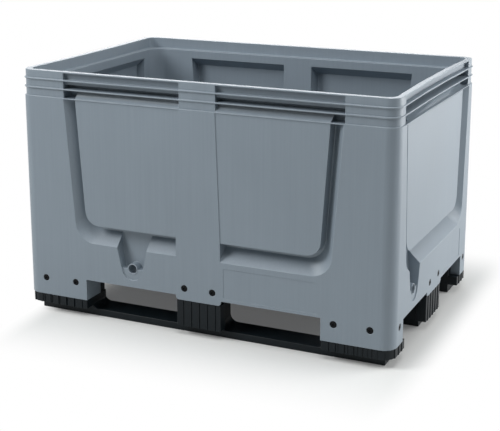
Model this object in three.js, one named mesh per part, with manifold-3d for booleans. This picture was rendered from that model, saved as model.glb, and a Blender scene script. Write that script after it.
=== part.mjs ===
// Plastic pallet box: a one-piece moulded box body with a ribbed rim band, framed side
// panels, four hollow corner legs and drain sockets, screwed down onto three black runners.
//
// Millimetres, +Z up. The origin is on the floor under the middle of the box: +X runs along
// the long sides and -Y is the long side with a drain, called the front here.

import * as THREE from 'three';
import { mergeVertices } from 'three/addons/utils/BufferGeometryUtils.js';
import Module from 'manifold-3d';

const wasm = await Module();
wasm.setup();

// Overall sizes
const length = 1200;
const width = 800;
const height = 766;
const cornerRadius = 40;
const wall = 5;

// Inside of the box
const cavityWallDepth = 45;
const cavityCornerRadius = 50;
const floorTop = 156;
const floorThickness = 6;
const shelfDrop = 35;
const shelfWidth = 23;
const shelfCornerRadius = 26;

// Rim band with its three thin ribs
const bandInset = 4;
const ribThickness = 4;
const ribDrops = [26, 53, 81];
const rimBow = 8;
const ribBows = [7, 5, 2];
const rimPlateThickness = 4;

// Legs, skirt and fork openings
const legBottom = 57;
const legLength = 215;
const legWidth = 90;
const legCornerRadius = 14;
const skirtBottom = 124;
const tabBottom = 110;
const tabHalfWidth = 74;
const tabCornerRadius = 10;
const tabOverlap = 30;

// Framed fields in the walls: a sloping frame, then a raised panel. The posts are what is
// left between a field and the ends of its side.
const frameDepth = 40;
const frameBottom = 243;
const frameRise = 40;
const panelBottom = 301;
const frameCornerRadius = 64;
const panelCornerRadius = 44;
const longFrame = { topPost: 154, bottomPost: 187, frameWidth: 35, panelInset: 2 };
const shortFrame = { topPost: 70, bottomPost: 100, frameWidth: 34, panelInset: 10 };
const panelGap = 3;
const panelTaper = 6;
const roofRise = 28;
const recessTopDrop = 10;

// Middle pillar of the long walls
const pillarTopHalf = 58;
const pillarBottomHalf = 72;
const innerPillarHalf = 49;

// Drain sockets
const drainHeight = 181;
const drainRadius = 36;
const drainTopHalf = 50;
const drainFloorDepth = 28;
const drainPlateDepth = 4;
const pipeRadius = 17;
const pipeBore = 14;
const pipeEndDepth = 2.5;
const frontDrainFromEnd = 378;
const sideDrainFromEnd = 188;

// Plain label fields, left bare
const fieldDepth = 1;
const fieldBottom = 134;
const fieldTop = 226;
const fieldCornerRadius = 6;
const frontField = { fromMiddle: 82, fromEnd: 225 };
const sideField = { fromMiddle: 85, fromEnd: 112 };

// Ribs under the floor
const floorRibBottom = 128;
const floorRibThickness = 4;
const floorRibSink = 0.5;
const floorRibsAlongX = { first: 90, pitch: 75, count: 3 };
const floorRibsAlongY = { first: 100, pitch: 80, count: 4 };

// Runners
const runnerInset = 32;
const runnerWidth = 83;
const middleRunnerWidth = 92;
const skidThickness = 22;
const skidFillet = 25;
const footLength = 177;
const middleFootHalf = 52;
const collarBottom = 28;
const collarInset = 2;
const plateHalfWidth = 72;
const plateTongueHalf = 64;
const plateTongueTop = 166;
const groovePitch = 27;
const grooveWidth = 6;
const grooveDepth = 3;
const grooveEndLand = 0.75;
const gap = 0.3;

// Screws
const screwHeadRadius = 10.5;
const screwCrownRadius = 8;
const screwHeadHeight = 3.4;
const screwRimHeight = 2;
const screwShankRadius = 4.5;
const cornerScrewLength = 46;
const middleScrewLength = 35;
const socketRadius = 4;
const socketDepth = 2.4;
const counterbore = 4;
const bossRadius = 15;
const bossDepth = 12;
const cornerScrewHeight = 111;
const middleScrewHeight = 147;
const longScrewsFromEnd = [68, 176];
const shortScrewsFromEnd = [59];
const middleScrewOut = 46;

// Steps of a quarter turn, sides of the round pieces, and how far a cut runs past its face
const arcSteps = 3;
const screwFacets = 10;
const bossFacets = 8;
const pipeFacets = 20;
const past = 1;

// From three.js geometry to a solid and back

function toSolid(geometry) {
  const bare = geometry.index ? geometry.toNonIndexed() : geometry.clone();
  bare.deleteAttribute('normal');
  bare.deleteAttribute('uv');
  const merged = mergeVertices(bare, 1e-4);
  return new wasm.Manifold(new wasm.Mesh({
    numProp: 3,
    vertProperties: Float32Array.from(merged.attributes.position.array),
    triVerts: Uint32Array.from(merged.index.array),
  }));
}

function toGeometry(solid) {
  const mesh = solid.getMesh();
  const geometry = new THREE.BufferGeometry();
  geometry.setAttribute('position', new THREE.BufferAttribute(mesh.vertProperties, 3));
  geometry.setIndex(new THREE.BufferAttribute(mesh.triVerts, 1));
  geometry.computeVertexNormals();
  return geometry;
}

function union(solids) {
  return solids.reduce((sum, solid) => sum.add(solid));
}

// A shape drawn in X and Y, pushed up from low to high
function prism(shape, low, high, steps = arcSteps) {
  const geometry = new THREE.ExtrudeGeometry(shape, {
    depth: high - low,
    bevelEnabled: false,
    curveSegments: steps,
  });
  geometry.translate(0, 0, low);
  return toSolid(geometry);
}

function box(low, high) {
  const size = high.map((value, axis) => value - low[axis]);
  const geometry = new THREE.BoxGeometry(...size);
  geometry.translate(...low.map((value, axis) => value + size[axis] / 2));
  return toSolid(geometry);
}

// A rounded rectangle centred on the origin, whose short sides may bow inwards
function planShape(halfX, halfY, radius, bow = 0) {
  const shape = new THREE.Shape();
  shape.moveTo(-halfX + radius, -halfY);
  shape.lineTo(halfX - radius, -halfY);
  shape.absarc(halfX - radius, -halfY + radius, radius, -Math.PI / 2, 0);
  if (bow > 0) shape.quadraticCurveTo(halfX - 2 * bow, 0, halfX, halfY - radius);
  shape.absarc(halfX - radius, halfY - radius, radius, 0, Math.PI / 2);
  shape.lineTo(-halfX + radius, halfY);
  shape.absarc(-halfX + radius, halfY - radius, radius, Math.PI / 2, Math.PI);
  if (bow > 0) shape.quadraticCurveTo(-halfX + 2 * bow, 0, -halfX, -halfY + radius);
  shape.absarc(-halfX + radius, -halfY + radius, radius, Math.PI, Math.PI * 1.5);
  return shape;
}

// The box outline, drawn in from the outermost faces by an inset
function outline(inset, bow = 0, radius = cornerRadius - inset) {
  return planShape(length / 2 - inset, width / 2 - inset, radius, bow);
}

function roundedRectangle(left, right, bottom, top, radius) {
  const shape = new THREE.Shape();
  shape.absarc(right - radius, bottom + radius, radius, -Math.PI / 2, 0);
  shape.absarc(right - radius, top - radius, radius, 0, Math.PI / 2);
  shape.absarc(left + radius, top - radius, radius, Math.PI / 2, Math.PI);
  shape.absarc(left + radius, bottom + radius, radius, Math.PI, Math.PI * 1.5);
  return shape;
}

function makeSide(name, turn, long) {
  const [half, out] = long ? [length / 2, width / 2] : [width / 2, length / 2];
  const frame = long ? longFrame : shortFrame;
  return {
    name,
    turn,
    long,
    half,
    out,
    frame: { ...frame, topHalf: half - frame.topPost, bottomHalf: half - frame.bottomPost },
    screwsFromEnd: long ? longScrewsFromEnd : shortScrewsFromEnd,
  };
}

// The four sides. In a side's own frame, X runs along the side to the right as seen from
// outside, Y is up, and Z points outwards with zero at the side's outermost face.
const sides = [
  makeSide('front', 0, true),
  makeSide('right', 90, false),
  makeSide('rear', 180, true),
  makeSide('left', 270, false),
];
const [frontSide, rightSide, rearSide, leftSide] = sides;

function ontoSide(solid, side) {
  return solid.rotate([90, 0, 0]).translate([0, -side.out, 0]).rotate([0, 0, side.turn]);
}

// A shape drawn on a side, from one depth to another; where a scale is given, the inner end
// is drawn in by it, towards the middle of the top edge
function sidePrism(shape, inner, outer, innerScale = null, topZ = 0) {
  const geometry = new THREE.ExtrudeGeometry(shape, {
    depth: outer - inner,
    bevelEnabled: false,
    curveSegments: arcSteps,
  });
  geometry.translate(0, 0, inner);
  if (innerScale) {
    const at = geometry.attributes.position;
    for (let i = 0; i < at.count; i += 1) {
      if (at.getZ(i) < (inner + outer) / 2) {
        at.setX(i, at.getX(i) * innerScale.x);
        at.setY(i, topZ + innerScale.shift + (at.getY(i) - topZ) * innerScale.y);
      }
    }
  }
  return toSolid(geometry);
}

// A field with leaning sides and two rounded lower corners
function fieldShape(topHalf, bottomHalf, bottom, top, radius) {
  const lean = Math.atan2(topHalf - bottomHalf, top - bottom);
  const centreX = bottomHalf + radius * Math.tan(lean) - radius / Math.cos(lean);
  const centreY = bottom + radius;
  const shape = new THREE.Shape();
  shape.moveTo(topHalf, top);
  shape.lineTo(-topHalf, top);
  shape.absarc(-centreX, centreY, radius, Math.PI + lean, Math.PI * 1.5);
  shape.absarc(centreX, centreY, radius, -Math.PI / 2, -lean);
  shape.closePath();
  return shape;
}

// Levels and depths that follow from the sizes above
const halfLength = length / 2;
const halfWidth = width / 2;
const floorBottom = floorTop - floorThickness;
const bandBottom = height - ribDrops[2] - ribThickness / 2;
const bandFieldTop = bandBottom + past;
const shelfLevel = height - shelfDrop;
const shelfDepth = cavityWallDepth - shelfWidth;
const roofLow = height - ribDrops[2] + ribThickness / 2;
const roofHigh = roofLow + roofRise;
const skinDepth = cavityWallDepth - wall;

// The raised panel lies just inside the foot of its sloping frame
function panelHalves(frame) {
  const inset = frame.frameWidth + panelGap;
  const lean = (frame.topHalf - frame.bottomHalf) / (bandFieldTop - frameBottom);
  return {
    topHalf: frame.topHalf - inset,
    bottomHalf: frame.bottomHalf + lean * (panelBottom - frameBottom) - inset,
  };
}

// The sloping frame's pocket; grown, it leaves the wall's thickness behind the frame
function framePocket(frame, grow = 0) {
  const top = bandFieldTop + grow;
  const bottom = frameBottom - grow;
  const topHalf = frame.topHalf + grow;
  const shape = fieldShape(topHalf, frame.bottomHalf + grow, bottom, top, frameCornerRadius + grow);
  const innerScale = {
    x: (topHalf - frame.frameWidth) / topHalf,
    y: (top - bottom - frameRise) / (top - bottom),
    shift: 0,
  };
  const inner = grow > 0 ? -cavityWallDepth - past : -frameDepth;
  return sidePrism(shape, inner, past, innerScale, top);
}

// The raised panel with its roof, which slopes up and back to the second rib
function raisedPanel(frame) {
  const { topHalf, bottomHalf } = panelHalves(frame);
  const shape = fieldShape(topHalf, bottomHalf, panelBottom, roofHigh, panelCornerRadius);
  const block = sidePrism(shape, -frameDepth - past, -frame.panelInset);
  const slope = new THREE.Shape();
  slope.moveTo(frame.panelInset, roofLow);
  slope.lineTo(frameDepth, roofHigh);
  slope.lineTo(-past, roofHigh + past);
  slope.lineTo(-past, roofLow);
  slope.closePath();
  return block.subtract(alongSide(slope, -topHalf - past, topHalf + past));
}

// A shape drawn with X as depth below the face and Y up, run along the side
function alongSide(shape, start, end) {
  return prism(shape, start, end).rotate([0, 90, 0]);
}

// The pillar between the two panels, wider below the rim band than inside it
function pillar() {
  const shape = new THREE.Shape();
  shape.moveTo(-pillarBottomHalf, frameBottom - past);
  shape.lineTo(pillarBottomHalf, frameBottom - past);
  shape.lineTo(pillarBottomHalf, panelBottom);
  shape.lineTo(pillarTopHalf, bandBottom);
  shape.lineTo(pillarTopHalf, height - rimPlateThickness);
  shape.lineTo(-pillarTopHalf, height - rimPlateThickness);
  shape.lineTo(-pillarTopHalf, bandBottom);
  shape.lineTo(-pillarBottomHalf, panelBottom);
  shape.closePath();
  return sidePrism(shape, -frameDepth - past, 0);
}

// The hollow behind a raised panel, seen from inside the box as a recess
function panelRecess(side) {
  const { frame } = side;
  const { topHalf, bottomHalf } = panelHalves(frame);
  const bottom = panelBottom + wall + panelTaper;
  const top = roofLow - recessTopDrop;
  const half = topHalf - wall - panelTaper;
  const shape = fieldShape(half, bottomHalf - wall - panelTaper, bottom, top, panelCornerRadius - wall);
  const innerScale = {
    x: (half + panelTaper) / half,
    y: (top + roofRise - bottom + panelTaper) / (top - bottom),
    shift: roofRise,
  };
  const recess = sidePrism(shape, -cavityWallDepth - past, -frame.panelInset - wall, innerScale, top);
  if (!side.long) return recess;
  const waist = new THREE.Shape();
  waist.moveTo(-innerPillarHalf, cavityWallDepth + 2 * past);
  waist.lineTo(innerPillarHalf, cavityWallDepth + 2 * past);
  waist.lineTo(pillarTopHalf + wall, 0);
  waist.lineTo(-pillarTopHalf - wall, 0);
  waist.closePath();
  return recess.subtract(prism(waist, 0, height).rotate([-90, 0, 0]));
}

// The opening of the rim band on one side, before its ribs and back wall are put back
function bandWindow(side) {
  const { topHalf } = side.frame;
  const shape = new THREE.Shape();
  shape.moveTo(-topHalf, bandBottom);
  shape.lineTo(topHalf, bandBottom);
  shape.lineTo(topHalf, height - rimPlateThickness);
  shape.lineTo(-topHalf, height - rimPlateThickness);
  shape.closePath();
  return sidePrism(shape, -skinDepth, past);
}

// Where the drains are, as a distance along their own side
const drains = [
  { side: frontSide, along: frontDrainFromEnd - frontSide.half },
  { side: rightSide, along: sideDrainFromEnd - rightSide.half },
];

// The drain socket's outline: a half circle below, leaning out to the frame above
function drainShape(along, grow) {
  const radius = drainRadius + grow;
  const top = panelBottom + grow;
  const shape = new THREE.Shape();
  shape.moveTo(along + drainTopHalf + grow, top);
  shape.lineTo(along - drainTopHalf - grow, top);
  shape.lineTo(along - drainTopHalf - grow, frameBottom);
  shape.absarc(along, drainHeight, radius, Math.PI, Math.PI * 2);
  shape.lineTo(along + drainTopHalf + grow, frameBottom);
  shape.closePath();
  return shape;
}

function drainHousing(drain) {
  return ontoSide(sidePrism(drainShape(drain.along, wall), -cavityWallDepth, 0), drain.side);
}

// The trough above the pipe, with its sloping back, and the shallow half disc below it
function drainRecess(drain) {
  const trough = new THREE.Shape();
  trough.moveTo(-past, drainHeight);
  trough.lineTo(drainFloorDepth, drainHeight);
  trough.lineTo(frameDepth, frameBottom + frameRise);
  trough.lineTo(frameDepth, panelBottom);
  trough.lineTo(-past, panelBottom);
  trough.closePath();
  const reach = drainTopHalf + past;
  const deep = alongSide(trough, drain.along - reach, drain.along + reach);
  const mouth = sidePrism(drainShape(drain.along, 0), -frameDepth - past, past);
  const plate = sidePrism(drainShape(drain.along, 0), -drainPlateDepth, past);
  return ontoSide(mouth.intersect(deep).add(plate), drain.side);
}

function roundBar(radius, inner, outer, steps = screwFacets) {
  const geometry = new THREE.CylinderGeometry(radius, radius, outer - inner, steps);
  geometry.rotateX(Math.PI / 2);
  geometry.translate(0, 0, (inner + outer) / 2);
  return toSolid(geometry);
}

function drainPipe(drain, radius, inner, outer) {
  const bar = roundBar(radius, inner, outer, pipeFacets).translate([drain.along, drainHeight, 0]);
  return ontoSide(bar, drain.side);
}

// Every screw, as a place on its side
const screwPlaces = sides.flatMap((side) => {
  const outer = side.screwsFromEnd.map((fromEnd) => (
    { out: side.half - fromEnd, up: cornerScrewHeight, reach: cornerScrewLength }
  ));
  const middle = { out: middleScrewOut, up: middleScrewHeight, reach: middleScrewLength };
  return [...outer, middle].flatMap(({ out, up, reach }) => [
    { side, along: -out, up, reach },
    { side, along: out, up, reach },
  ]);
});

function atScrews(makeSolid) {
  return union(screwPlaces.map((place) => ontoSide(
    makeSolid(place).translate([place.along, place.up, 0]),
    place.side,
  )));
}

// One leg's ground plan in the corner at positive X and Y
function legPlan(inset = 0, reach = past) {
  const radius = legCornerRadius - inset;
  return roundedRectangle(
    halfLength - legLength + inset,
    halfLength + reach + legCornerRadius,
    halfWidth - legWidth + inset,
    halfWidth + reach + legCornerRadius,
    radius,
  );
}

function inFourCorners(solid) {
  const pair = solid.add(solid.mirror([1, 0, 0]));
  return pair.add(pair.mirror([0, 1, 0]));
}

// The foot block of a runner, as the legs have to leave room for it
const footStart = halfLength - runnerInset - footLength;
const footEnd = halfLength - runnerInset;
const runnerOuter = halfWidth - runnerInset;
const runnerInner = runnerOuter - runnerWidth;

function makeBody() {
  // The core is the inside of the box with its wall around it
  const core = prism(planShape(
    halfLength - skinDepth,
    halfWidth - skinDepth,
    cavityCornerRadius + wall,
  ), floorBottom, shelfLevel - past);
  const collar = prism(
    outline(shelfDepth - wall, rimBow, shelfCornerRadius + wall),
    shelfLevel - wall,
    height,
  );
  const kept = core.add(collar);

  const ribSlabs = union(ribDrops.map((drop, index) => prism(
    outline(0, ribBows[index]),
    height - drop - ribThickness / 2,
    height - drop + ribThickness / 2,
  )));
  const lower = prism(outline(0), legBottom, bandBottom + ribThickness);
  const band = prism(outline(bandInset, rimBow), bandBottom, height);
  let body = lower.add(band).add(ribSlabs);

  // Rim windows, sloping frames and raised panels on the four sides
  for (const side of sides) {
    let opening = ontoSide(bandWindow(side), side).subtract(kept).subtract(ribSlabs);
    opening = opening.add(ontoSide(framePocket(side.frame), side));
    let raised = raisedPanel(side.frame);
    if (side.long) raised = raised.add(pillar());
    body = body.subtract(opening.subtract(ontoSide(raised, side)));
  }

  // The hollow between the outer skin and the inner wall, open at the bottom
  const outerRoom = prism(outline(wall), floorBottom, bandBottom - wall);
  let hollow = outerRoom.subtract(core);
  for (const side of sides) {
    hollow = hollow.subtract(ontoSide(framePocket(side.frame, wall * Math.SQRT2), side));
  }
  for (const side of sides.filter((one) => one.long)) {
    const half = innerPillarHalf - wall;
    const shaft = box([-half, floorBottom, -skinDepth], [half, bandBottom - wall, -wall]);
    const low = pillarBottomHalf - wall;
    const foot = box([-low, floorBottom, -skinDepth], [low, frameBottom, -wall]);
    hollow = hollow.add(ontoSide(shaft.add(foot), side));
  }
  for (const drain of drains) hollow = hollow.subtract(drainHousing(drain));
  body = body.subtract(hollow);

  // Everything below the floor inside the skirt, then the fork openings around the legs
  const under = prism(outline(wall), legBottom - past, floorBottom);
  const legs = inFourCorners(prism(legPlan(), legBottom, floorBottom));
  const legInsides = inFourCorners(prism(legPlan(wall), legBottom - past, floorBottom));
  const footRoom = inFourCorners(box(
    [footStart - 2 * gap, runnerInner - past, legBottom - past],
    [footEnd + 2 * gap, runnerOuter + past, floorBottom],
  ));
  const housings = union(drains.map(drainHousing));
  const legWalls = legs.subtract(legInsides).intersect(under).subtract(footRoom);
  const tabTop = skirtBottom + tabOverlap;
  const tab = roundedRectangle(-tabHalfWidth, tabHalfWidth, tabBottom, tabTop, tabCornerRadius);
  const tabs = union(sides.map((side) => ontoSide(sidePrism(tab, -wall, past), side)));
  const forkRoom = box(
    [-length, -width, legBottom - past],
    [length, width, skirtBottom],
  ).subtract(legs).subtract(tabs);
  body = body.subtract(under.subtract(housings)).add(legWalls).subtract(forkRoom);

  // Ribs under the floor, which also stiffen the skirt
  const ribBoxes = [];
  for (const y of bothWays(floorRibsAlongX)) ribBoxes.push(floorRib([-length, y], [length, y]));
  for (const x of bothWays(floorRibsAlongY)) ribBoxes.push(floorRib([x, -width], [x, width]));
  const ribRoom = prism(outline(wall - floorRibSink), floorRibBottom, floorBottom + wall);
  body = body.add(union(ribBoxes).intersect(ribRoom));

  // The room for the load, with the stepped shelf under the rim
  const cavity = prism(planShape(
    halfLength - cavityWallDepth,
    halfWidth - cavityWallDepth,
    cavityCornerRadius,
  ), floorTop, height);
  const shelf = prism(outline(shelfDepth, rimBow, shelfCornerRadius), shelfLevel, height + past);
  body = body.subtract(cavity.add(shelf));
  for (const side of sides) body = body.subtract(ontoSide(panelRecess(side), side));

  // Drains
  for (const drain of drains) {
    body = body.subtract(drainRecess(drain));
    body = body.add(drainPipe(drain, pipeRadius, -skinDepth - past, -pipeEndDepth));
    body = body.subtract(drainPipe(drain, pipeBore, -cavityWallDepth - past, past));
  }

  // Screw seats
  body = body.add(atScrews(() => roundBar(bossRadius, -bossDepth, -past, bossFacets)));
  body = body.subtract(atScrews(() => roundBar(screwHeadRadius + gap, -counterbore, past)
    .add(roundBar(screwShankRadius + gap, -bossDepth - past, past))));

  // Bare label fields
  for (const [side, field] of [[frontSide, frontField], [rightSide, sideField]]) {
    const end = side.half - field.fromEnd;
    const shape = roundedRectangle(field.fromMiddle, end, fieldBottom, fieldTop, fieldCornerRadius);
    body = body.subtract(ontoSide(sidePrism(shape, -fieldDepth, past), side));
  }
  return body;
}

// The places of a row of ribs, on both sides of the middle
function bothWays({ first, pitch, count }) {
  const out = Array.from({ length: count }, (_, index) => first + index * pitch);
  return out.flatMap((at) => [-at, at]);
}

function floorRib(from, to) {
  const half = floorRibThickness / 2;
  return box(
    [from[0] - half, from[1] - half, floorRibBottom],
    [to[0] + half, to[1] + half, floorBottom + past],
  );
}

// A runner's side view: three feet joined by a thin skid, with filleted corners
function runnerProfile(footTop) {
  const shape = new THREE.Shape();
  const bay = (from, to) => {
    shape.lineTo(from, footTop);
    shape.lineTo(from, skidThickness + skidFillet);
    shape.absarc(from - skidFillet, skidThickness + skidFillet, skidFillet, 0, -Math.PI / 2, true);
    shape.lineTo(to + skidFillet, skidThickness);
    shape.absarc(to + skidFillet, skidThickness + skidFillet, skidFillet, -Math.PI / 2, -Math.PI, true);
    shape.lineTo(to, footTop);
  };
  shape.moveTo(-footEnd, 0);
  shape.lineTo(footEnd, 0);
  shape.lineTo(footEnd, footTop);
  bay(footStart, middleFootHalf);
  bay(-middleFootHalf, -footStart);
  shape.lineTo(-footEnd, footTop);
  shape.closePath();
  return shape;
}

// Upright grooves cut into a ribbed face, along one side of the box, with a land before the
// first one and after the last that is a share of the pitch
function grooves(side, start, end, low, high, depth) {
  const span = end - start;
  const count = Math.max(1, Math.floor(span / groovePitch));
  const pitch = span / (count - 1 + 2 * grooveEndLand);
  const cuts = [];
  for (let i = 0; i < count; i += 1) {
    const centre = start + pitch * (i + grooveEndLand);
    cuts.push(box(
      [centre - grooveWidth / 2, low, -depth - grooveDepth],
      [centre + grooveWidth / 2, high, past],
    ));
  }
  return ontoSide(union(cuts), side);
}

// The ribbed plate in front of a middle foot: full height below the tab, and a tongue
// that goes up behind it and takes the two screws
function ribbedPlate(side) {
  const plate = box(
    [-plateHalfWidth, collarBottom, -runnerInset - past],
    [plateHalfWidth, tabBottom - gap, -collarInset],
  );
  const tongue = box(
    [-plateTongueHalf, collarBottom, -runnerInset - past],
    [plateTongueHalf, plateTongueTop, -bossDepth - gap],
  );
  const solid = ontoSide(plate.add(tongue), side);
  const cuts = grooves(side, -plateHalfWidth, plateHalfWidth, collarBottom - past, tabBottom, collarInset);
  return solid.subtract(cuts);
}

function pilotHoles() {
  return atScrews(({ reach }) => roundBar(screwShankRadius + gap, -reach - past, past));
}

function makeRunner(low, high, name) {
  const footTop = floorBottom - gap;
  let runner = prism(runnerProfile(footTop), -high, -low).rotate([90, 0, 0]);
  if (name === 'middle') {
    runner = runner.add(ribbedPlate(rightSide)).add(ribbedPlate(leftSide));
  } else {
    const front = name === 'front';
    const side = front ? frontSide : rearSide;
    const corner = prism(outline(collarInset), collarBottom, legBottom - gap);
    const reach = box(
      [halfLength - legLength + collarInset, runnerInner, collarBottom],
      [length, width, legBottom],
    );
    const both = reach.add(reach.mirror([1, 0, 0]));
    const collars = corner.intersect(front ? both.mirror([0, 1, 0]) : both);
    runner = runner.add(collars).add(ribbedPlate(side));
    const top = legBottom;
    const bottom = collarBottom - past;
    const legStart = halfLength - legLength + collarInset;
    const legEnd = halfLength - cornerRadius;
    runner = runner.subtract(grooves(side, legStart, legEnd, bottom, top, collarInset));
    runner = runner.subtract(grooves(side, -legEnd, -legStart, bottom, top, collarInset));
    const endFace = [runnerInner, halfWidth - cornerRadius];
    const mirrored = [-endFace[1], -endFace[0]];
    const [right, left] = front ? [mirrored, endFace] : [endFace, mirrored];
    runner = runner.subtract(grooves(rightSide, ...right, bottom, top, collarInset));
    runner = runner.subtract(grooves(leftSide, ...left, bottom, top, collarInset));
  }
  return runner.subtract(pilotHoles());
}

// One screw, turned about its axis, with a round socket in a domed head; its tip is at the
// given depth below the face when the head sits in its counterbore
function screwGeometry(reach) {
  const tip = counterbore - gap - reach;
  const points = [
    [0, tip],
    [screwShankRadius, tip],
    [screwShankRadius, 0],
    [screwHeadRadius, 0],
    [screwHeadRadius, screwRimHeight],
    [screwCrownRadius, screwHeadHeight],
    [socketRadius, screwHeadHeight],
    [socketRadius, screwHeadHeight - socketDepth],
    [0, screwHeadHeight - socketDepth],
  ].map(([x, y]) => new THREE.Vector2(x, y));
  const geometry = new THREE.LatheGeometry(points, screwFacets);
  geometry.rotateX(Math.PI / 2);
  return geometry;
}

// Colours and finishes
const bodyFinish = { color: 0x7b868e, roughness: 0.5, metalness: 0 };
const runnerFinish = { color: 0x181c1f, roughness: 0.6, metalness: 0 };
const screwFinish = { color: 0x0c0e10, roughness: 0.35, metalness: 0.2 };

const palletBox = new THREE.Group();

function addPiece(name, geometry, finish, parent = palletBox) {
  const mesh = new THREE.Mesh(geometry, new THREE.MeshStandardMaterial(finish));
  mesh.name = name;
  parent.add(mesh);
  return mesh;
}

addPiece('box_body', toGeometry(makeBody()), bodyFinish);
addPiece('runner_front', toGeometry(makeRunner(-runnerOuter, -runnerInner, 'front')), runnerFinish);
addPiece(
  'runner_middle',
  toGeometry(makeRunner(-middleRunnerWidth / 2, middleRunnerWidth / 2, 'middle')),
  runnerFinish,
);
addPiece('runner_rear', toGeometry(makeRunner(runnerInner, runnerOuter, 'rear')), runnerFinish);

for (const side of sides) {
  const turned = new THREE.Group();
  turned.rotation.z = THREE.MathUtils.degToRad(side.turn);
  palletBox.add(turned);
  const places = screwPlaces.filter((place) => place.side === side);
  places.forEach((place, index) => {
    const name = `screw_${side.name}_${index + 1}`;
    const screw = addPiece(name, screwGeometry(place.reach), screwFinish, turned);
    screw.position.set(place.along, -side.out + counterbore - gap, place.up);
    screw.rotation.x = Math.PI / 2;
  });
}

export default palletBox;
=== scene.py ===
# %% [markdown]
# # A grey plastic pallet box
# The real box is one big injection moulding: thin grey walls with framed panels, a ribbed
# band under the rim, hollow legs and two drain sockets. Three black runners are screwed
# under it. The solids come ready made from the frame, at their true size, so this lesson is
# about the finish: rounded moulded edges, the thin ribs on the runners, twenty screws, the
# soft sheen of polyethylene, and plain light.

# %% Load the frame
import math

import bmesh
import bpy
from mathutils import Matrix, Vector
from mathutils.kdtree import KDTree


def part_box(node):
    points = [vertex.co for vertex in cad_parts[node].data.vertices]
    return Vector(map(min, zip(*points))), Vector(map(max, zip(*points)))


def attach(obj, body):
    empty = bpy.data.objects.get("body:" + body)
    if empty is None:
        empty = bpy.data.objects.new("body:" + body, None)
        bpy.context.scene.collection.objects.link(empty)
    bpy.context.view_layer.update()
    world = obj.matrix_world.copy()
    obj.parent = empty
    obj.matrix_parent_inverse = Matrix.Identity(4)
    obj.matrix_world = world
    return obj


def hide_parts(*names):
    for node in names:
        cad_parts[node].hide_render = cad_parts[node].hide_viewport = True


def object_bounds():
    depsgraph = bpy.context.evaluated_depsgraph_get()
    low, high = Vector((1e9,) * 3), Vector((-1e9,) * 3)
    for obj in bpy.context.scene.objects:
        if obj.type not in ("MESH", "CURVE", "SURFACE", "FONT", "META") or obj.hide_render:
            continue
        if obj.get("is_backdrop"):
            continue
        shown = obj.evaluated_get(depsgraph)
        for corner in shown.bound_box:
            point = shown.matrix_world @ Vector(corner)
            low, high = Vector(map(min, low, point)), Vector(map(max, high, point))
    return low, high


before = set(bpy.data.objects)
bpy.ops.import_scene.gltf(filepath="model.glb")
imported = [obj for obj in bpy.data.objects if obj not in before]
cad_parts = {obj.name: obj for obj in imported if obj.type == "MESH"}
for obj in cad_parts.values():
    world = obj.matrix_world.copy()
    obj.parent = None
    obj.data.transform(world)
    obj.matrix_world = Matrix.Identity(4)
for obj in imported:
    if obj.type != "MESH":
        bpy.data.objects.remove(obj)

cad_low, cad_high = (Vector(corner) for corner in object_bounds())
cad_size = cad_high - cad_low
half_length, half_width, height = cad_size.x / 2, cad_size.y / 2, cad_size.z
runner_nodes = ["runner_front", "runner_middle", "runner_rear"]
screw_nodes = sorted(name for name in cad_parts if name.startswith("screw_"))
print("box", [round(value, 3) for value in cad_size], "screws", len(screw_nodes))

# %% [markdown]
# ## The camera
# The photograph was taken from the front right, over half a metre above the rim, with a long
# lens some four metres away. A small slide of the lens lets the camera tilt down less, so the
# uprights stay nearly parallel, as in a studio picture.

# %% Camera
image_width = 500
focal_pixels = 1183.0
sensor_width = 36.0
eye = Vector((1.505, -3.327, 1.346))
turn_left = math.radians(24.55)
tilt_down = math.radians(13.51)
lens_slide = -0.12
far_limit = 200.0

camera_data = bpy.data.cameras.new("studio_camera")
camera_data.sensor_width = sensor_width
camera_data.lens = focal_pixels * sensor_width / image_width
camera_data.shift_y = lens_slide
camera_data.clip_end = far_limit
camera = bpy.data.objects.new("studio_camera", camera_data)
camera.location = eye
camera.rotation_euler = (math.pi / 2 - tilt_down, 0.0, turn_left)
bpy.context.scene.collection.objects.link(camera)
bpy.context.scene.camera = camera
print("lens", round(camera_data.lens, 1), "mm")

# %% [markdown]
# ## Shader groups for moulded plastic
# Two effects come back in every material here. Moulded grain is the fine spark-eroded
# texture of the tool, with the faint upright drag lines that a deep mould leaves when the
# part is pulled out. Handling wear makes the edges a little paler and smoother than the
# faces. Each is one node group with its own inputs, so every plastic can set its own values.

# %% Helpers for node trees
def node(tree, kind, **settings):
    made = tree.nodes.new(kind)
    for key, value in settings.items():
        setattr(made, key, value)
    return made


def wire(tree, value, socket):
    """Link an output to a socket, or set the socket to a plain value."""
    if isinstance(value, bpy.types.NodeSocket):
        tree.links.new(value, socket)
    else:
        socket.default_value = value


def math_node(tree, operation, *values, clamp=False):
    made = node(tree, "ShaderNodeMath", operation=operation, use_clamp=clamp)
    for value, socket in zip(values, made.inputs):
        wire(tree, value, socket)
    return made.outputs["Value"]


def new_shader_group(name, sizes, outlets):
    group = bpy.data.node_groups.new(name, "ShaderNodeTree")
    for label, value in sizes:
        socket = group.interface.new_socket(
            name=label, in_out="INPUT", socket_type="NodeSocketFloat")
        socket.default_value = value
    for label in outlets:
        group.interface.new_socket(name=label, in_out="OUTPUT", socket_type="NodeSocketFloat")
    return group, node(group, "NodeGroupInput"), node(group, "NodeGroupOutput")


def noise(group, vector, scale, detail):
    made = node(group, "ShaderNodeTexNoise")
    made.inputs["Detail"].default_value = detail
    group.links.new(vector, made.inputs["Vector"])
    group.links.new(scale, made.inputs["Scale"])
    return made


print("helpers for node trees are ready")


# %% Moulded grain
grain_detail, drag_detail, mottle_detail = 3.0, 2.0, 4.0
grain_roughness = 0.6
# Drag lines hardly change with height, so the upright axis is squeezed flat
drag_squeeze = (1.0, 1.0, 0.02)


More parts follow.
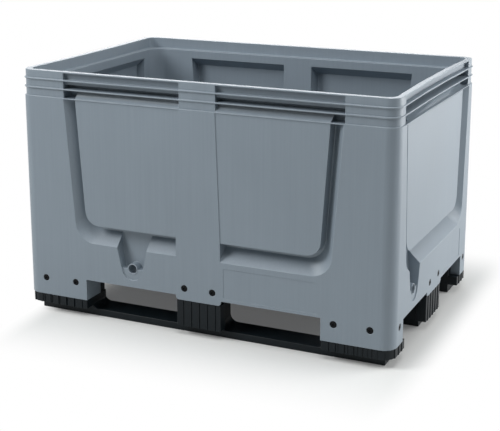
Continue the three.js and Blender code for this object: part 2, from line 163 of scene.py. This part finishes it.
def build_moulded_grain():
    group, given, result = new_shader_group(
        "moulded_grain",
        [
            ("Grain Scale", 900.0),
            ("Grain Height", 0.00004),
            ("Drag Scale", 160.0),
            ("Drag Height", 0.00006),
            ("Mottle Scale", 3.0),
        ],
        ["Height", "Mottle", "Drag"],
    )
    link = group.links.new
    place = node(group, "ShaderNodeTexCoord").outputs["Object"]
    squeeze = node(group, "ShaderNodeMapping")
    squeeze.inputs["Scale"].default_value = drag_squeeze
    link(place, squeeze.inputs["Vector"])
    grain = noise(group, place, given.outputs["Grain Scale"], grain_detail)
    grain.inputs["Roughness"].default_value = grain_roughness
    drag = noise(group, squeeze.outputs["Vector"], given.outputs["Drag Scale"], drag_detail)
    mottle = noise(group, place, given.outputs["Mottle Scale"], mottle_detail)
    fine = math_node(group, "MULTIPLY", grain.outputs["Fac"], given.outputs["Grain Height"])
    lines = math_node(group, "MULTIPLY", drag.outputs["Fac"], given.outputs["Drag Height"])
    link(math_node(group, "ADD", fine, lines), result.inputs["Height"])
    link(mottle.outputs["Fac"], result.inputs["Mottle"])
    link(drag.outputs["Fac"], result.inputs["Drag"])
    return group


moulded_grain = build_moulded_grain()
print("group", moulded_grain.name, "with", len(moulded_grain.nodes), "nodes")


# %% Handling wear
patch_detail = 5.0
patch_low, patch_high = 0.35, 0.7


def build_handling_wear():
    group, given, result = new_shader_group(
        "handling_wear", [("Edge", 0.5), ("Amount", 0.3), ("Patch Scale", 14.0)], ["Mask"])
    place = node(group, "ShaderNodeTexCoord").outputs["Object"]
    patches = noise(group, place, given.outputs["Patch Scale"], patch_detail)
    spread = node(group, "ShaderNodeMapRange")
    spread.inputs["From Min"].default_value = patch_low
    spread.inputs["From Max"].default_value = patch_high
    group.links.new(patches.outputs["Fac"], spread.inputs["Value"])
    worn = math_node(group, "MULTIPLY", given.outputs["Edge"], spread.outputs["Result"])
    mask = math_node(group, "MULTIPLY", worn, given.outputs["Amount"], clamp=True)
    group.links.new(mask, result.inputs["Mask"])
    return group


handling_wear = build_handling_wear()
print("group", handling_wear.name, "with", len(handling_wear.nodes), "nodes")

# %% [markdown]
# ## The three plastics
# The body is a mid grey, the runners are black regrind plastic with a matt face, and the
# screws are black too but smoother. Colour shifts only a little over a moulding, so the
# mottle is kept weak, and the rounded edges carry most of the look. The drag lines show in
# the colour and in the sheen as well as in the bump.

# %% Materials
drag_in_colour = 0.9
drag_in_sheen = 0.14
worn_smoothing = 0.1
bump_strength = 0.6
plastic_ior = 1.5


def plastic(name, colour, pale_colour, roughness, gloss, grain, drag, mottle, wear):
    material = bpy.data.materials.new(name)
    material.use_nodes = True
    tree = material.node_tree
    link = tree.links.new
    shader = tree.nodes["Principled BSDF"]
    texture = node(tree, "ShaderNodeGroup", node_tree=moulded_grain)
    texture.inputs["Grain Height"].default_value = grain
    texture.inputs["Drag Height"].default_value = drag
    worn = node(tree, "ShaderNodeGroup", node_tree=handling_wear)
    worn.inputs["Amount"].default_value = wear
    edge = node(tree, "ShaderNodeAttribute", attribute_name="edge")
    link(edge.outputs["Fac"], worn.inputs["Edge"])

    shade = node(tree, "ShaderNodeMix", data_type="RGBA")
    shade.inputs["A"].default_value = (*[value * (1.0 - mottle) for value in colour], 1.0)
    shade.inputs["B"].default_value = (*[value * (1.0 + mottle) for value in colour], 1.0)
    lines = math_node(
        tree, "MULTIPLY_ADD", texture.outputs["Drag"], drag_in_colour, -drag_in_colour / 2)
    tone = math_node(tree, "ADD", texture.outputs["Mottle"], lines, clamp=True)
    link(tone, shade.inputs["Factor"])
    paled = node(tree, "ShaderNodeMix", data_type="RGBA")
    paled.inputs["B"].default_value = (*pale_colour, 1.0)
    link(worn.outputs["Mask"], paled.inputs["Factor"])
    link(shade.outputs["Result"], paled.inputs["A"])
    link(paled.outputs["Result"], shader.inputs["Base Color"])

    sheen = math_node(
        tree, "MULTIPLY_ADD", texture.outputs["Drag"], drag_in_sheen, roughness - drag_in_sheen / 2)
    smoothed = math_node(tree, "MULTIPLY_ADD", worn.outputs["Mask"], -worn_smoothing, sheen)
    link(smoothed, shader.inputs["Roughness"])
    bump = node(tree, "ShaderNodeBump")
    bump.inputs["Strength"].default_value = bump_strength
    bump.inputs["Distance"].default_value = 1.0
    link(texture.outputs["Height"], bump.inputs["Height"])
    link(bump.outputs["Normal"], shader.inputs["Normal"])
    shader.inputs["IOR"].default_value = plastic_ior
    shader.inputs["Specular IOR Level"].default_value = gloss
    return material


grey_moulding = plastic(
    "grey_moulding", colour=(0.213, 0.258, 0.301), pale_colour=(0.36, 0.41, 0.45),
    roughness=0.45, gloss=0.5, grain=0.00004, drag=0.00008, mottle=0.07, wear=0.4)
black_runner = plastic(
    "black_runner", colour=(0.005, 0.0085, 0.011), pale_colour=(0.02, 0.026, 0.03),
    roughness=0.4, gloss=0.2, grain=0.0001, drag=0.00005, mottle=0.2, wear=0.4)
black_screw = plastic(
    "black_screw", colour=(0.002, 0.003, 0.004), pale_colour=(0.008, 0.01, 0.012),
    roughness=0.35, gloss=0.12, grain=0.00002, drag=0.0, mottle=0.1, wear=0.3)
print("materials", grey_moulding.name, black_runner.name, black_screw.name)

# %% [markdown]
# ## Rounded mouldings
# A moulded part has no knife edges: every corner has a radius of a millimetre or two, and
# those radii catch the light as the thin pale lines that draw the whole shape. A copy of
# each solid is merged into a clean skin, its flat faces are joined up, and a bevel rounds
# whatever turns sharply.

# %% Clean skin
edge_limit = math.radians(34.0)
weld_distance = 0.000002
flat_angle = math.radians(0.6)
room_per_radius = 3.0


def clean_copy(node_name, piece_name, radius):
    source = bpy.data.objects[node_name]
    mesh = source.data.copy()
    mesh.transform(source.matrix_world)
    skin = bmesh.new()
    skin.from_mesh(mesh)
    bmesh.ops.remove_doubles(skin, verts=skin.verts, dist=weld_distance)
    bmesh.ops.dissolve_limit(skin, angle_limit=flat_angle, verts=skin.verts, edges=skin.edges)
    # A short edge leaves little room, so the rounding is drawn in close to it
    weight = skin.edges.layers.float.new("bevel_weight_edge")
    room = {vert: min(edge.calc_length() for edge in vert.link_edges) for vert in skin.verts}
    for edge in skin.edges:
        if edge.is_manifold and edge.calc_face_angle() > edge_limit:
            space = min(room[vert] for vert in edge.verts)
            edge[weight] = min(1.0, space / (room_per_radius * radius))
    skin.to_mesh(mesh)
    skin.free()
    mesh.materials.clear()
    piece = bpy.data.objects.new(piece_name, mesh)
    bpy.context.scene.collection.objects.link(piece)
    return piece


print("edges that turn more than", round(math.degrees(edge_limit)), "degrees get rounded")

# %% [markdown]
# Where three short edges meet in a tight place, a bevel can fold a face over itself, and the
# fold shows as a black sliver. Two faces that turn back on each other give such a place away.
# The edges near it are then left sharp, and the bevel is tried again until no fold is left.

# %% Folded places
fold_angle = math.radians(150.0)
fold_reach = 0.003


def folded_spots(mesh):
    check = bmesh.new()
    check.from_mesh(mesh)
    spots = []
    # A big face hides its fold until it is cut into triangles, so both states are looked at
    for cut_up in (False, True):
        if cut_up:
            bmesh.ops.triangulate(check, faces=check.faces)
        for edge in check.edges:
            if edge.is_manifold and edge.calc_face_angle() > fold_angle:
                spots += [vert.co.copy() for vert in edge.verts]
    check.free()
    return spots


def sharpen_near(mesh, spots):
    tree = KDTree(len(spots))
    for index, spot in enumerate(spots):
        tree.insert(spot, index)
    tree.balance()
    near = []
    for vert in mesh.vertices:
        _, _, distance = tree.find(vert.co)
        near.append(distance < fold_reach)
    weights = mesh.attributes["bevel_weight_edge"].data
    for edge in mesh.edges:
        if near[edge.vertices[0]] or near[edge.vertices[1]]:
            weights[edge.index].value = 0.0
    mesh.update()


print("edges within", fold_reach * 1000, "mm of a fold are left sharp")

# %% [markdown]
# The rounding faces get a material slot of their own for a moment, so that they can be told
# from the flat ones. That mark becomes the face attribute that the wear reads. At last every
# point is held inside the box of its CAD node, so the finish never makes the part bigger.

# %% Rounding
face_slot, rounding_slot = 0, 1
rounding_segments = 2
flat_face_pull = 80
most_attempts = 5


def mark_rounding(mesh):
    marks = mesh.attributes.new("edge", "FLOAT", "FACE")
    for face in mesh.polygons:
        marks.data[face.index].value = float(face.material_index == rounding_slot)
        face.material_index = face_slot
    mesh.materials.pop(index=rounding_slot)


def keep_inside(mesh, low, high):
    for vert in mesh.vertices:
        vert.co = [
            min(max(value, least), most) for value, least, most in zip(vert.co, low, high)]


def rounded(node_name, piece_name, radius, material):
    piece = clean_copy(node_name, piece_name, radius)
    for slot in (face_slot, rounding_slot):
        piece.data.materials.append(material)
    piece.data.shade_smooth()
    bevel = piece.modifiers.new("rounding", "BEVEL")
    bevel.limit_method = "WEIGHT"
    bevel.width = radius
    bevel.segments = rounding_segments
    bevel.material = rounding_slot
    bevel.use_clamp_overlap = False
    weighted = piece.modifiers.new("flat_faces_stay_flat", "WEIGHTED_NORMAL")
    weighted.mode = "FACE_AREA"
    weighted.weight = flat_face_pull
    for attempt in range(most_attempts):
        graph = bpy.context.evaluated_depsgraph_get()
        mesh = bpy.data.meshes.new_from_object(piece.evaluated_get(graph))
        spots = folded_spots(mesh)
        print(piece_name, "attempt", attempt, "folded corners", len(spots))
        if not spots:
            break
        sharpen_near(piece.data, spots)
    piece.modifiers.clear()
    piece.data = mesh
    mark_rounding(mesh)
    keep_inside(mesh, *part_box(node_name))
    print(piece_name, "faces", len(mesh.polygons), "size", [round(v, 4) for v in piece.dimensions])
    return piece


# %% Body
body_radius = 0.0012
body_piece = rounded("box_body", "body_skin", body_radius, grey_moulding)
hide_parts("box_body")
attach(body_piece, "root")

# %% Runners
runner_radius = 0.002
for runner_node in runner_nodes:
    runner_piece = rounded(runner_node, runner_node + "_skin", runner_radius, black_runner)
    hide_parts(runner_node)
    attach(runner_piece, "root")

# %% [markdown]
# ## Ribs on the runners
# The black collars under the legs, and the plates in the middle of each side, carry thin
# upright ribs that catch the light. They follow the outline of the box, round its corners
# too. A curve is drawn along each collar and plate, and one Geometry Nodes tree spaces the
# ribs along it, so the same tree makes short ribs on the collars and tall ones on the plates.

# %% Rib paths
corner_radius = 0.04
first_long_rib, last_short_rib = 0.193, 0.0885
ribs_low, collar_high, plate_high = 0.0285, 0.0565, 0.1095
collar_pitch, plate_pitch = 0.0266, 0.0262
plate_half = 2 * plate_pitch
face_inset = 0.0026
arc_points = 9
reach_x, reach_y = half_length - face_inset, half_width - face_inset


def collar_path(side_x, side_y):
    radius = corner_radius - face_inset
    path = [(half_length - first_long_rib, reach_y)]
    for step in range(arc_points):
        angle = math.pi / 2 * (1 - step / (arc_points - 1))
        path.append((
            reach_x - radius + radius * math.cos(angle),
            reach_y - radius + radius * math.sin(angle)))
    path.append((reach_x, half_width - last_short_rib))
    return [(side_x * x, side_y * y) for x, y in path]


def path_object(name, paths):
    curve = bpy.data.curves.new(name, "CURVE")
    curve.dimensions = "3D"
    for path in paths:
        spline = curve.splines.new("POLY")
        spline.points.add(len(path) - 1)
        for point, (x, y) in zip(spline.points, path):
            point.co = (x, y, ribs_low, 1.0)
    made = bpy.data.objects.new(name, curve)
    bpy.context.scene.collection.objects.link(made)
    return made


collar_paths = [collar_path(x, y) for x in (-1, 1) for y in (-1, 1)]
long_plates = [
    [(-plate_half, side * reach_y), (plate_half, side * reach_y)] for side in (-1, 1)]
short_plates = [
    [(side * reach_x, -plate_half), (side * reach_x, plate_half)] for side in (-1, 1)]
print("collar paths", len(collar_paths), "plate paths", len(long_plates + short_plates))


# %% Helpers for Geometry Nodes
def new_geometry_tree(name, inlet, sizes, outlet):
    tree = bpy.data.node_groups.new(name, "GeometryNodeTree")
    tree.interface.new_socket(name=inlet, in_out="INPUT", socket_type="NodeSocketGeometry")
    for label, value in sizes:
        socket = tree.interface.new_socket(
            name=label, in_out="INPUT", socket_type="NodeSocketFloat")
        socket.default_value = value
    tree.interface.new_socket(name="Finish", in_out="INPUT", socket_type="NodeSocketMaterial")
    tree.interface.new_socket(name=outlet, in_out="OUTPUT", socket_type="NodeSocketGeometry")
    return tree, node(tree, "NodeGroupInput"), node(tree, "NodeGroupOutput")


def vector_of(tree, x=0.0, y=0.0, z=0.0):
    made = node(tree, "ShaderNodeCombineXYZ")
    for value, socket in zip((x, y, z), made.inputs):
        wire(tree, value, socket)
    return made.outputs["Vector"]


def moved(tree, source, offset):
    made = node(tree, "GeometryNodeTransform")
    tree.links.new(source, made.inputs["Geometry"])
    wire(tree, offset, made.inputs["Translation"])
    return made.outputs["Geometry"]


def joined(tree, parts):
    made = node(tree, "GeometryNodeJoinGeometry")
    for part in parts:
        tree.links.new(part, made.inputs["Geometry"])
    return made.outputs["Geometry"]


def finished(tree, instances, material, outlet):
    real = node(tree, "GeometryNodeRealizeInstances")
    tree.links.new(instances, real.inputs["Geometry"])
    finish = node(tree, "GeometryNodeSetMaterial")
    tree.links.new(real.outputs["Geometry"], finish.inputs["Geometry"])
    tree.links.new(material, finish.inputs["Material"])
    tree.links.new(finish.outputs["Geometry"], outlet)


print("helpers for Geometry Nodes are ready")


# %% Rib tree
rib_width, rib_depth = 0.0055, 0.0048


def build_rib_tree():
    tree, given, result = new_geometry_tree(
        "upright_ribs",
        "Paths",
        [
            ("Pitch", collar_pitch),
            ("Rib Width", rib_width),
            ("Rib Depth", rib_depth),
            ("Rib Height", collar_high - ribs_low),
        ],
        "Ribs",
    )
    link = tree.links.new
    points = node(tree, "GeometryNodeCurveToPoints", mode="LENGTH")
    link(given.outputs["Paths"], points.inputs["Curve"])
    link(given.outputs["Pitch"], points.inputs["Length"])
    turn = node(tree, "FunctionNodeAlignRotationToVector", axis="X", pivot_axis="Z")
    link(points.outputs["Tangent"], turn.inputs["Vector"])

    tall = given.outputs["Rib Height"]
    block = node(tree, "GeometryNodeMeshCube")
    link(vector_of(tree, given.outputs["Rib Width"], given.outputs["Rib Depth"], tall),
         block.inputs["Size"])
    lift = vector_of(tree, z=math_node(tree, "MULTIPLY", tall, 0.5))
    ribs = node(tree, "GeometryNodeInstanceOnPoints")
    link(points.outputs["Points"], ribs.inputs["Points"])
    link(moved(tree, block.outputs["Mesh"], lift), ribs.inputs["Instance"])
    link(turn.outputs["Rotation"], ribs.inputs["Rotation"])
    finished(tree, ribs.outputs["Instances"], given.outputs["Finish"], result.inputs["Ribs"])
    return tree


rib_tree = build_rib_tree()
print("rib tree nodes", len(rib_tree.nodes))


# %% Run a tree and keep its mesh
def run_tree(maker, tree, values, piece_name):
    modifier = maker.modifiers.new("maker", "NODES")
    modifier.node_group = tree
    for item in tree.interface.items_tree:
        if item.in_out == "INPUT" and item.name in values:
            modifier[item.identifier] = values[item.name]
    mesh = bpy.data.meshes.new_from_object(
        maker.evaluated_get(bpy.context.evaluated_depsgraph_get()))
    bpy.data.objects.remove(maker)
    shell = bmesh.new()
    shell.from_mesh(mesh)
    bmesh.ops.recalc_face_normals(shell, faces=shell.faces)
    shell.to_mesh(mesh)
    shell.free()
    piece = bpy.data.objects.new(piece_name, mesh)
    bpy.context.scene.collection.objects.link(piece)
    print(piece_name, len(mesh.polygons), "faces")
    return piece


# %% Ribs
for rib_name, rib_paths, rib_pitch, rib_top in (
    ("collar_ribs", collar_paths, collar_pitch, collar_high),
    ("plate_ribs", long_plates + short_plates, plate_pitch, plate_high),
):
    rib_piece = run_tree(
        path_object(rib_name + "_path", rib_paths), rib_tree,
        {"Pitch": rib_pitch, "Rib Height": rib_top - ribs_low, "Finish": black_runner}, rib_name)
    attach(rib_piece, "root")

# %% [markdown]
# ## Twenty screws
# Each screw has a flat round head with a sloped rim and a six-sided socket. All twenty are
# alike apart from the length of the shank, so one Geometry Nodes tree builds the head once
# from discs and open tubes and puts it on twenty points. Each point carries the direction
# that its screw looks out in, and the length of its shank, both read from the frame.

# %% Screw places
screw_head_height = 0.0034


def screw_place(name):
    low, high = (Vector(corner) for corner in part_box(name))
    middle = (low + high) / 2
    on_long_side = abs(middle.y) / half_width > abs(middle.x) / half_length
    axis = 1 if on_long_side else 0
    outward = Vector((0.0, 0.0, 0.0))
    outward[axis] = math.copysign(1.0, middle[axis])
    place = middle.copy()
    place[axis] = high[axis] if outward[axis] > 0 else low[axis]
    place -= outward * screw_head_height
    return place, outward, high[axis] - low[axis] - screw_head_height


def screw_points():
    places, directions, shanks = zip(*[screw_place(name) for name in screw_nodes])
    mesh = bpy.data.meshes.new("screw_places")
    mesh.from_pydata([tuple(place) for place in places], [], [])
    # A new attribute makes older handles stale, so each is filled before the next is added
    aim = mesh.attributes.new("outward", "FLOAT_VECTOR", "POINT")
    for index, direction in enumerate(directions):
        aim.data[index].vector = direction
    shank = mesh.attributes.new("shank", "FLOAT", "POINT")
    for index, reach in enumerate(shanks):
        shank.data[index].value = reach
    return mesh


screw_places = screw_points()
print("screw places", len(screw_places.vertices))


# %% Shapes for the screw head
round_sides, socket_sides, shank_sides = 32, 6, 16
head_weld = 0.00002


def circle(tree, radius, sides):
    made = node(tree, "GeometryNodeCurvePrimitiveCircle")
    made.inputs["Resolution"].default_value = sides
    tree.links.new(radius, made.inputs["Radius"])
    return made.outputs["Curve"]


def filled(tree, *curves):
    made = node(tree, "GeometryNodeFillCurve")
    made.mode = "NGONS" if len(curves) == 1 else "TRIANGLES"
    tree.links.new(joined(tree, curves), made.inputs["Curve"])
    return made.outputs["Mesh"]


def tube(tree, radius_top, radius_bottom, tall, sides):
    made = node(tree, "GeometryNodeMeshCone", fill_type="NONE")
    made.inputs["Vertices"].default_value = sides
    tree.links.new(radius_top, made.inputs["Radius Top"])
    tree.links.new(radius_bottom, made.inputs["Radius Bottom"])
    tree.links.new(tall, made.inputs["Depth"])
    return made.outputs["Mesh"]


def screw_head(tree, given):
    head, crown = given.outputs["Head Radius"], given.outputs["Crown Radius"]
    rim, top = given.outputs["Rim Height"], given.outputs["Head Height"]
    socket, depth = given.outputs["Socket Radius"], given.outputs["Socket Depth"]
    slope = math_node(tree, "SUBTRACT", top, rim)
    on_rim, on_top = vector_of(tree, z=rim), vector_of(tree, z=top)
    on_floor = vector_of(tree, z=math_node(tree, "SUBTRACT", top, depth))
    top_face = filled(tree, circle(tree, crown, round_sides), circle(tree, socket, socket_sides))
    socket_wall = tube(tree, socket, socket, depth, socket_sides)
    socket_floor = filled(tree, circle(tree, socket, socket_sides))
    whole = joined(tree, [
        filled(tree, circle(tree, head, round_sides)),
        tube(tree, head, head, rim, round_sides),
        moved(tree, tube(tree, crown, head, slope, round_sides), on_rim),
        moved(tree, top_face, on_top),
        moved(tree, socket_wall, on_floor),
        moved(tree, socket_floor, on_floor),
    ])
    welded = node(tree, "GeometryNodeMergeByDistance")
    welded.inputs["Distance"].default_value = head_weld
    tree.links.new(whole, welded.inputs["Geometry"])
    return welded.outputs["Geometry"]


print("a head has", round_sides, "sides and its socket", socket_sides)


# %% Screw tree
def build_screw_tree():
    tree, given, result = new_geometry_tree(
        "plastic_screws",
        "Places",
        [
            ("Head Radius", 0.0105),
            ("Crown Radius", 0.008),
            ("Rim Height", 0.002),
            ("Head Height", screw_head_height),
            ("Socket Radius", 0.0045),
            ("Socket Depth", 0.0024),
            ("Shank Radius", 0.0045),
        ],
        "Screws",
    )
    link = tree.links.new
    aim = node(tree, "GeometryNodeInputNamedAttribute", data_type="FLOAT_VECTOR")
    aim.inputs["Name"].default_value = "outward"
    turn = node(tree, "FunctionNodeAlignRotationToVector", axis="Z")
    link(aim.outputs["Attribute"], turn.inputs["Vector"])

    def placed(mesh, scale):
        made = node(tree, "GeometryNodeInstanceOnPoints")
        link(given.outputs["Places"], made.inputs["Points"])
        link(mesh, made.inputs["Instance"])
        link(turn.outputs["Rotation"], made.inputs["Rotation"])
        wire(tree, scale, made.inputs["Scale"])
        return made.outputs["Instances"]

    # The shank is a rod one metre long that each point then scales to its own length
    rod = node(tree, "GeometryNodeMeshCylinder", fill_type="NGON")
    rod.inputs["Vertices"].default_value = shank_sides
    rod.inputs["Depth"].default_value = 1.0
    link(given.outputs["Shank Radius"], rod.inputs["Radius"])
    hung = moved(tree, rod.outputs["Mesh"], (0.0, 0.0, -0.5))
    reach = node(tree, "GeometryNodeInputNamedAttribute", data_type="FLOAT")
    reach.inputs["Name"].default_value = "shank"
    stretch = vector_of(tree, 1.0, 1.0, reach.outputs["Attribute"])
    both = joined(tree, [placed(screw_head(tree, given), (1.0, 1.0, 1.0)), placed(hung, stretch)])
    finished(tree, both, given.outputs["Finish"], result.inputs["Screws"])
    return tree


screw_tree = build_screw_tree()
print("screw tree nodes", len(screw_tree.nodes))

# %% Screws
screw_maker = bpy.data.objects.new("screw_maker", screw_places)
bpy.context.scene.collection.objects.link(screw_maker)
screws_piece = run_tree(screw_maker, screw_tree, {"Finish": black_screw}, "screw_set")
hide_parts(*screw_nodes)
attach(screws_piece, "root")

# %% [markdown]
# ## Floor
# The background of the photograph is plain white, with only a soft grey shade close to the
# box, longest in front and short at the two ends. The floor is a pale matt plane near the
# box, with a little painted white glow for the camera and for reflections that lifts its
# shade. Further out it blends fully into that white, so its edge never shows, and the shade
# stays.

# %% Floor plane
floor_half = 40.0
floor_drop = 0.0005

floor_mesh = bpy.data.meshes.new("floor")
floor_mesh.from_pydata(
    [(-floor_half, -floor_half, 0.0), (floor_half, -floor_half, 0.0),
     (floor_half, floor_half, 0.0), (-floor_half, floor_half, 0.0)],
    [], [(0, 1, 2, 3)])
floor_mesh.transform(Matrix.Translation((0.0, 0.0, -floor_drop)))
floor = bpy.data.objects.new("floor", floor_mesh)
bpy.context.scene.collection.objects.link(floor)
floor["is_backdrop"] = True
print("floor", 2 * floor_half, "m wide")

# %% [markdown]
# The blend needs the distance from each floor point to the foot of the box. Folding the
# point into one quarter, taking off half the box and dropping what is below zero leaves the
# way out along X and Y. The way along X is stretched, so the painted glow cuts the shade short
# at the ends. The foot is also taken a little short there, and moved to the right, so the
# painted glow leaves a shade that leans that way.

# %% Floor finish
floor_colour = (0.77, 0.785, 0.775, 1.0)
shade_reach, white_reach = 0.0, 0.36
# Even at the box a share of white glow is mixed in for the camera and reflections: painted light
# that lifts the floor's shade under and around the box
painted_shade_lift = 0.09
shade_lean = 0.06
end_trim = 0.05
end_stretch = 3.6


def vector_node(tree, operation, first, second=None):
    made = node(tree, "ShaderNodeVectorMath", operation=operation)
    tree.links.new(first, made.inputs[0])
    if second is not None:
        made.inputs[1].default_value = second
    return made


def seen_rays(tree, *kinds):
    path = node(tree, "ShaderNodeLightPath")
    seen = path.outputs[kinds[0]]
    for kind in kinds[1:]:
        seen = math_node(tree, "MAXIMUM", seen, path.outputs[kind])
    return seen


def way_from_box(tree):
    where = node(tree, "ShaderNodeTexCoord").outputs["Object"]
    foot = (half_length - end_trim, half_width, 0.0)
    way = vector_node(tree, "SUBTRACT", where, (shade_lean, 0.0, 0.0)).outputs["Vector"]
    way = vector_node(tree, "ABSOLUTE", way).outputs["Vector"]
    way = vector_node(tree, "SUBTRACT", way, foot).outputs["Vector"]
    way = vector_node(tree, "MAXIMUM", way, (0.0, 0.0, 0.0)).outputs["Vector"]
    way = vector_node(tree, "MULTIPLY", way, (end_stretch, 1.0, 1.0)).outputs["Vector"]
    return vector_node(tree, "LENGTH", way).outputs["Value"]


def build_floor_finish():
    material = bpy.data.materials.new("white_floor")
    material.use_nodes = True
    tree = material.node_tree
    tree.nodes.clear()
    link = tree.links.new
    matt = node(tree, "ShaderNodeBsdfDiffuse")
    matt.inputs["Color"].default_value = floor_colour
    glow = node(tree, "ShaderNodeEmission")
    # The fade mixes painted white glow into the floor: a little even at the box, lifting its shade,
    # and fully further out
    fade = node(tree, "ShaderNodeMapRange", interpolation_type="SMOOTHSTEP")
    fade.inputs["From Min"].default_value = shade_reach
    fade.inputs["From Max"].default_value = white_reach
    fade.inputs["To Min"].default_value = painted_shade_lift
    link(way_from_box(tree), fade.inputs["Value"])
    seen = seen_rays(tree, "Is Camera Ray", "Is Glossy Ray", "Is Transmission Ray")
    blend = node(tree, "ShaderNodeMixShader")
    link(math_node(tree, "MULTIPLY", fade.outputs["Result"], seen), blend.inputs["Fac"])
    link(matt.outputs["BSDF"], blend.inputs[1])
    link(glow.outputs["Emission"], blend.inputs[2])
    outlet = node(tree, "ShaderNodeOutputMaterial")
    link(blend.outputs["Shader"], outlet.inputs["Surface"])
    return material


floor_mesh.materials.append(build_floor_finish())
print("the floor is plain white from", white_reach, "m in front of the box")

# %% [markdown]
# ## Light
# The short side of the box is clearly brighter than the long one, so two soft lights stand on
# the right, one low and one high. A third faces the long side from far out on the left, and a
# wide one hangs overhead. A weak one behind the box skims over it and draws the top of the
# rim. The world fills in a little from all round.

# %% World
world_fill = 0.08

world = bpy.data.worlds.new("studio_world")
bpy.context.scene.world = world
world.use_nodes = True
world_tree = world.node_tree
sky = world_tree.nodes["Background"]
sky.inputs["Color"].default_value = (1.0, 1.0, 1.0, 1.0)
seen_sky = seen_rays(world_tree, "Is Camera Ray", "Is Glossy Ray")
strength = math_node(world_tree, "MULTIPLY_ADD", seen_sky, 1.0 - world_fill, world_fill)
world_tree.links.new(strength, sky.inputs["Strength"])
print("world fill", world_fill)


# %% Lamps
def soft_lamp(name, place, aim, size, power):
    lamp = bpy.data.lights.new(name, "AREA")
    lamp.shape = "RECTANGLE"
    lamp.size, lamp.size_y = size
    lamp.energy = power
    holder = bpy.data.objects.new(name, lamp)
    holder.location = place
    holder.rotation_euler = (Vector(aim) - Vector(place)).to_track_quat("-Z", "Y").to_euler()
    bpy.context.scene.collection.objects.link(holder)
    print(name, power, "W")


right_side = (0.6, 0.0, height / 2)
long_side = (-0.2, 0.0, height / 2)
inside, rim = (0.0, 0.3, 0.3), (0.0, -0.2, 0.7)
soft_lamp("low_side_light", (3.0, 2.1, 0.6), right_side, size=(2.2, 1.0), power=66.0)
soft_lamp("high_side_light", (3.0, 1.0, 2.0), right_side, size=(2.0, 1.4), power=39.0)
soft_lamp("front_light", (-3.0, -2.6, 2.9), long_side, size=(1.8, 1.6), power=124.0)
soft_lamp("top_light", (0.6, -0.9, 3.2), inside, size=(2.2, 2.0), power=54.0)
soft_lamp("rim_light", (-1.4, 2.7, 1.5), rim, size=(2.6, 1.2), power=36.0)

# %% Close
bpy.context.scene.view_settings.view_transform = "Standard"
